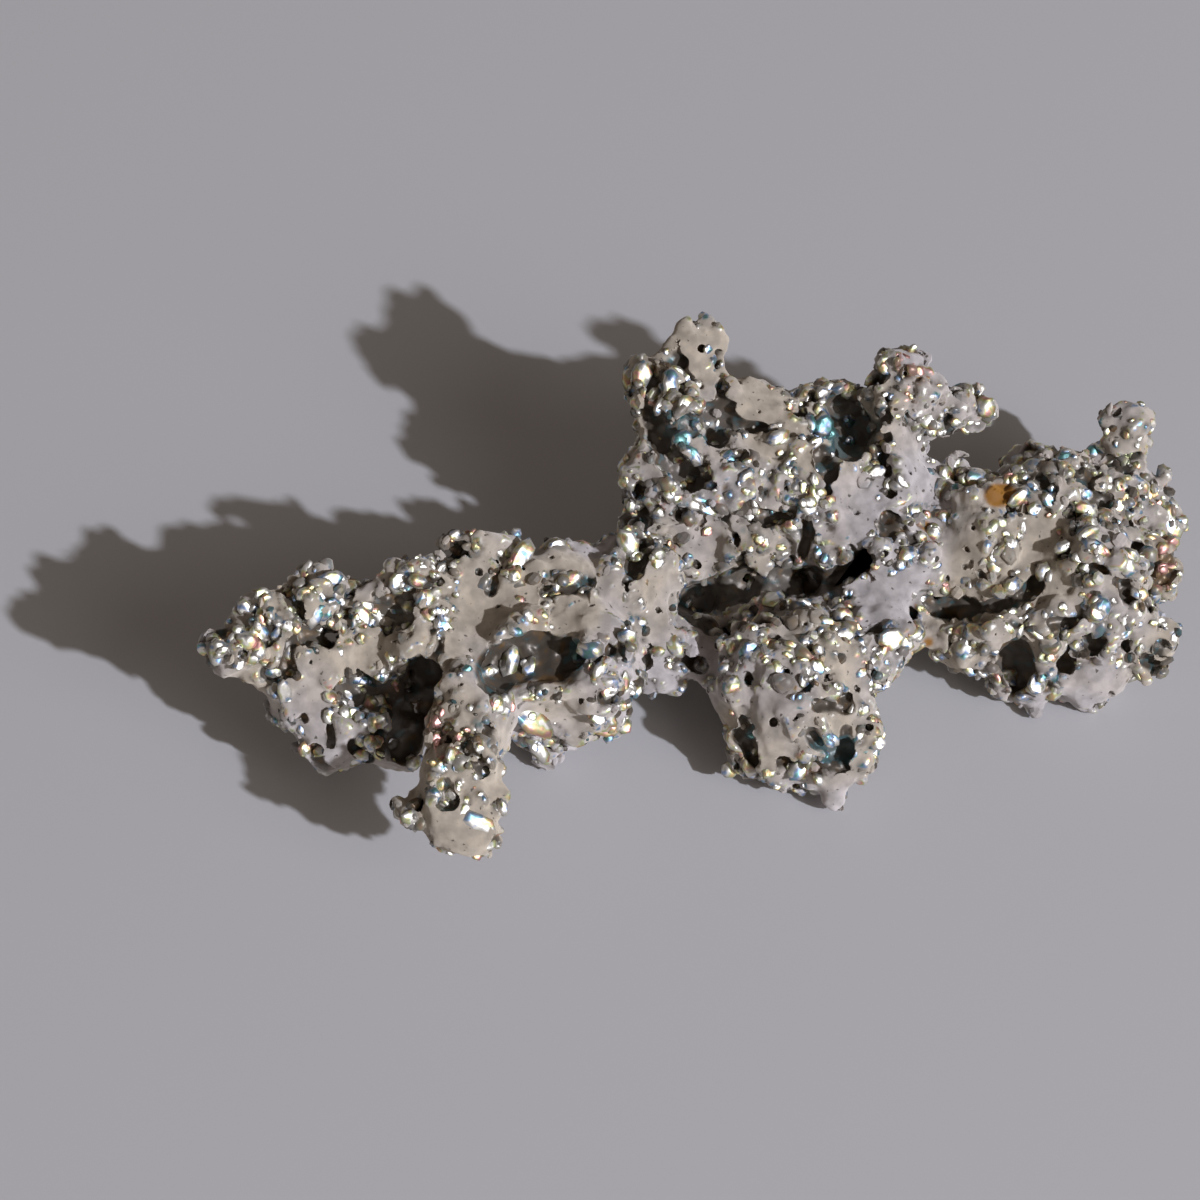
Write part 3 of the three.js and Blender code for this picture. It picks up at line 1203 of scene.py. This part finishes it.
def split(body: Piece) -> list[Piece]:
    """Split the skin into closed pieces at the necks between its lobes.

    Args:
        body: the nugget's skin.

    Returns:
        One closed piece for each lobe.
    """
    pieces = []
    tree = tree_of(points_of(body.data))
    for lobe in LOBES:
        low, high = np.array(lobe.low), np.array(lobe.high)
        bpy.ops.object.select_all(action="DESELECT")
        bpy.ops.mesh.primitive_cube_add(size=1, location=(low + high) / 2, scale=high - low)
        block = bpy.context.object
        piece = copy_of(body, lobe.name)
        apply_modifier(piece, "BOOLEAN", operation="INTERSECT", solver="MANIFOLD", object=block)
        bpy.data.objects.remove(block)
        mend_cut(piece.data, lobe, body.data, tree)
        pieces.append(piece)
    bpy.data.objects.remove(body)
    return pieces


# ---------------- finish

@dataclass(frozen=True)
class SilverFinish:
    """Native silver as found, never worked. Sizes are in mm.

    The frosted skin gives the eye a pale matt face with a warm or a cool cast over 3 mm patches.
    Bare beads are bright metal: small sharp glints, edged with colour as by a thin sulphide film.
    Thick sulphide makes the hollows brown-black with a low gloss. The same dark colour is painted as
    shade in the creases among the grains, round the feet of beads, on bead sides and on beads that
    face away from the light, and as a dark reflection over the dish. One patch has an ochre stain.
    Specks and grain are drawn at 0.13 mm, coarser than real frosting, so that they show. Films
    change colour over 0.28 mm, about one bead.
    """
    cool_skin: str = "c0b9b8"
    warm_skin: str = "beb2a2"
    speck: str = "6b645c"
    ochre: str = "a5742f"
    bright_films: Stops = ((0.28, "80b0ae"), (0.35, "9db0d4"), (0.41, "e8e4dc"), (0.52, "e8e4dc"),
                           (0.57, "cdd6a8"), (0.63, "e2c894"), (0.70, "dcaaa2"))
    # Sulphide colours, also used for the painted shade and the dish's painted dark reflection.
    sulphide_and_shade_films: Stops = ((0.30, "50696c"), (0.40, "5b544c"), (0.60, "64594e"), (0.70, "776044"))
    patch_size: float = 3.3
    warm_rise: float = 0.04
    mottle_size: float = 0.30
    film_size: float = 0.28
    tint_shift: float = 0.18
    speck_size: float = 0.13
    warm_range: Pair = (0.51, 0.71)
    speck_range: Pair = (0.70, 0.76)
    mottle_range: Pair = (0.35, 0.65)
    mottle_tones: Pair = (0.80, 1.12)
    # For bare skin, polished metal, and sulphide with painted shade.
    metallic: Point = (0.0, 0.95, 0.3)
    roughness: Point = (0.75, 0.49, 0.40)
    grain_strength: float = 0.4
    grain_depth: float = 0.02

    def build(self) -> bpy.types.Material:
        """Make the material.

        Returns:
            The native silver.
        """
        material = bpy.data.materials.new("native silver")
        material.use_nodes = True
        tree = material.node_tree
        shader = tree.nodes["Principled BSDF"]
        place = add_node(tree, "ShaderNodeTexCoord").outputs["Object"]
        marks = {}
        for name in MASKS:
            node = add_node(tree, "ShaderNodeAttribute", {"attribute_name": name})
            marks[name] = node.outputs["Fac"]
        noises = {}
        for name, size, detail in (("patch", self.patch_size, 3.0), ("mottle", self.mottle_size, 3.0),
                                   ("film", self.film_size, 1.0), ("speck", self.speck_size, 1.0)):
            values = {"Vector": place, "Scale": 1 / (size * MM), "Detail": detail}
            noises[name] = add_node(tree, "ShaderNodeTexNoise", inputs=values).outputs[0]
        film = add_node(tree, "ShaderNodeMath", {"operation": "MULTIPLY_ADD"},
                        {0: marks["tint"], 1: self.tint_shift, 2: noises["film"]})
        films = {}
        for name, stops in (("bright", self.bright_films), ("dark", self.sulphide_and_shade_films)):
            ramp = add_node(tree, "ShaderNodeValToRGB", inputs={0: film.outputs[0]})
            films[name] = set_stops(ramp, stops)
        height = add_node(tree, "ShaderNodeSeparateXYZ", inputs={0: place}).outputs["Z"]
        warm = add_node(tree, "ShaderNodeMath", {"operation": "MULTIPLY_ADD"},
                        {0: height, 1: self.warm_rise / MM, 2: noises["patch"]})
        low, high = self.warm_range
        warm = add_node(tree, "ShaderNodeMapRange", inputs={0: warm.outputs[0], 1: low, 2: high})
        levels = dict(enumerate(self.mottle_range + self.mottle_tones, 1))
        tone = add_node(tree, "ShaderNodeMapRange", inputs={0: noises["mottle"], **levels})
        low, high = self.speck_range
        specks = add_node(tree, "ShaderNodeMapRange", inputs={0: noises["speck"], 1: low, 2: high})
        skin = add_node(tree, "ShaderNodeMix", {"data_type": "RGBA"},
                        {0: warm.outputs[0], 6: linear(self.cool_skin), 7: linear(self.warm_skin)})
        skin = add_node(tree, "ShaderNodeVectorMath", {"operation": "SCALE"},
                        {0: skin.outputs[2], "Scale": tone.outputs[0]})
        skin = add_node(tree, "ShaderNodeMix", {"data_type": "RGBA"},
                        {0: specks.outputs[0], 6: skin.outputs[0], 7: linear(self.speck)})
        colour = skin.outputs[2]
        # The dark films colour sulphide and painted shade alike.
        for factor, over in ((marks["polish"], films["bright"]), (marks["tarnish_and_shade"], films["dark"]),
                             (marks["ochre"], linear(self.ochre))):
            node = add_node(tree, "ShaderNodeMix", {"data_type": "RGBA"}, {0: factor, 6: colour, 7: over})
            colour = node.outputs[2]
        tree.links.new(colour, shader.inputs["Base Color"])
        shader.inputs["Diffuse Roughness"].default_value = 1.0
        for name, levels in (("Metallic", self.metallic), ("Roughness", self.roughness)):
            value = levels[0]
            for factor, level in ((marks["polish"], levels[1]), (marks["tarnish_and_shade"], levels[2])):
                node = add_node(tree, "ShaderNodeMix", {"data_type": "FLOAT"},
                                {0: factor, 2: value, 3: level})
                value = node.outputs[0]
            tree.links.new(value, shader.inputs[name])
        grain = add_node(tree, "ShaderNodeBump", inputs={
            "Strength": self.grain_strength, "Distance": self.grain_depth * MM, "Height": noises["speck"]})
        tree.links.new(grain.outputs[0], shader.inputs["Normal"])
        return material


# ---------------- studio

@dataclass
class Studio:
    """A pale paper floor, a small key light with a soft glow round it, and the camera."""
    elevation: float = 50.0
    distance: float = 0.120
    view_width: float = 1200 * 0.0223 * MM
    target: Point = (-2.12 * MM, 2.70 * MM, 0.0)
    key_direction: Point = (1.188, -1.059, 1.0)
    sky: Stops = ((0.0, "dedad4"), (0.22, "8f8a84"), (0.6, "564e49"))

    def build(self) -> None:
        """Set up the floor, the lights, the world and the camera."""
        bpy.context.scene.view_settings.view_transform = "Standard"
        self.floor()
        self.disc("key", 0.6, 0.018, 3.2, "eff3ff")
        self.disc("glow", 0.55, 0.32, 0.45, "fffaf2")
        self.world()
        self.camera()

    def floor(self) -> None:
        """Lay the paper."""
        bpy.ops.object.select_all(action="DESELECT")
        bpy.ops.mesh.primitive_plane_add(size=1.2)
        floor = bpy.context.object
        floor.name = "floor"
        material = bpy.data.materials.new("pale paper")
        material.use_nodes = True
        shader = material.node_tree.nodes["Principled BSDF"]
        shader.inputs["Base Color"].default_value = linear("cac8c9")
        shader.inputs["Roughness"].default_value = 0.9
        shader.inputs["Specular IOR Level"].default_value = 0.2
        floor.data.materials.append(material)

    def disc(self, name: str, distance: float, size: float, power: float, colour: str) -> None:
        """Hang a round light on the key direction.

        Args:
            name: the light's name.
            distance: how far it hangs in metres.
            size: its diameter in metres.
            power: its power in watts.
            colour: its sRGB hex colour.
        """
        direction = Vector(self.key_direction).normalized()
        light = bpy.data.lights.new(name, "AREA")
        light.shape = "DISK"
        light.size = size
        light.energy = power
        light.color = linear(colour)[:3]
        lamp = show(bpy.data.objects.new(name, light))
        lamp.location = direction * distance
        lamp.rotation_euler = direction.to_track_quat("Z", "Y").to_euler()

    def world(self) -> None:
        """Light the surroundings: pale near the horizon, dark above."""
        world = bpy.data.worlds.new("studio")
        bpy.context.scene.world = world
        world.use_nodes = True
        tree = world.node_tree
        direction = add_node(tree, "ShaderNodeTexCoord").outputs["Generated"]
        height = add_node(tree, "ShaderNodeSeparateXYZ", inputs={0: direction}).outputs["Z"]
        ramp = add_node(tree, "ShaderNodeValToRGB", inputs={0: height})
        colour = set_stops(ramp, self.sky)
        tree.links.new(colour, tree.nodes["Background"].inputs["Color"])

    def camera(self) -> None:
        """Place the camera."""
        angle = math.radians(self.elevation)
        back = Vector((0, -math.cos(angle), math.sin(angle)))
        data = bpy.data.cameras.new("camera")
        data.sensor_width = 36
        data.lens = data.sensor_width * self.distance / self.view_width
        data.clip_start = 0.001
        camera = show(bpy.data.objects.new("camera", data))
        camera.location = Vector(self.target) + back * self.distance
        camera.rotation_euler = (-back).to_track_quat("-Z", "Y").to_euler()
        bpy.context.scene.camera = camera


def main() -> None:
    """Build the nugget and its studio, and report each piece."""
    logging.basicConfig(level=logging.INFO, format="%(asctime)s %(message)s")
    nugget = Nugget(np.random.default_rng(SEED))
    pieces = nugget.build()
    silver = SilverFinish().build()
    log.info("native silver: %d nodes", len(silver.node_tree.nodes))
    for piece in pieces:
        piece.data.transform(Matrix.Scale(MM, 4))
        piece.data.materials.clear()
        piece.data.materials.append(silver)
        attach(piece, "root")
        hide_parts(NODE)
        log.info("%s: %d faces on the root body", piece.name, len(piece.data.polygons))
    Studio().build()


if __name__ == "__main__":
    main()
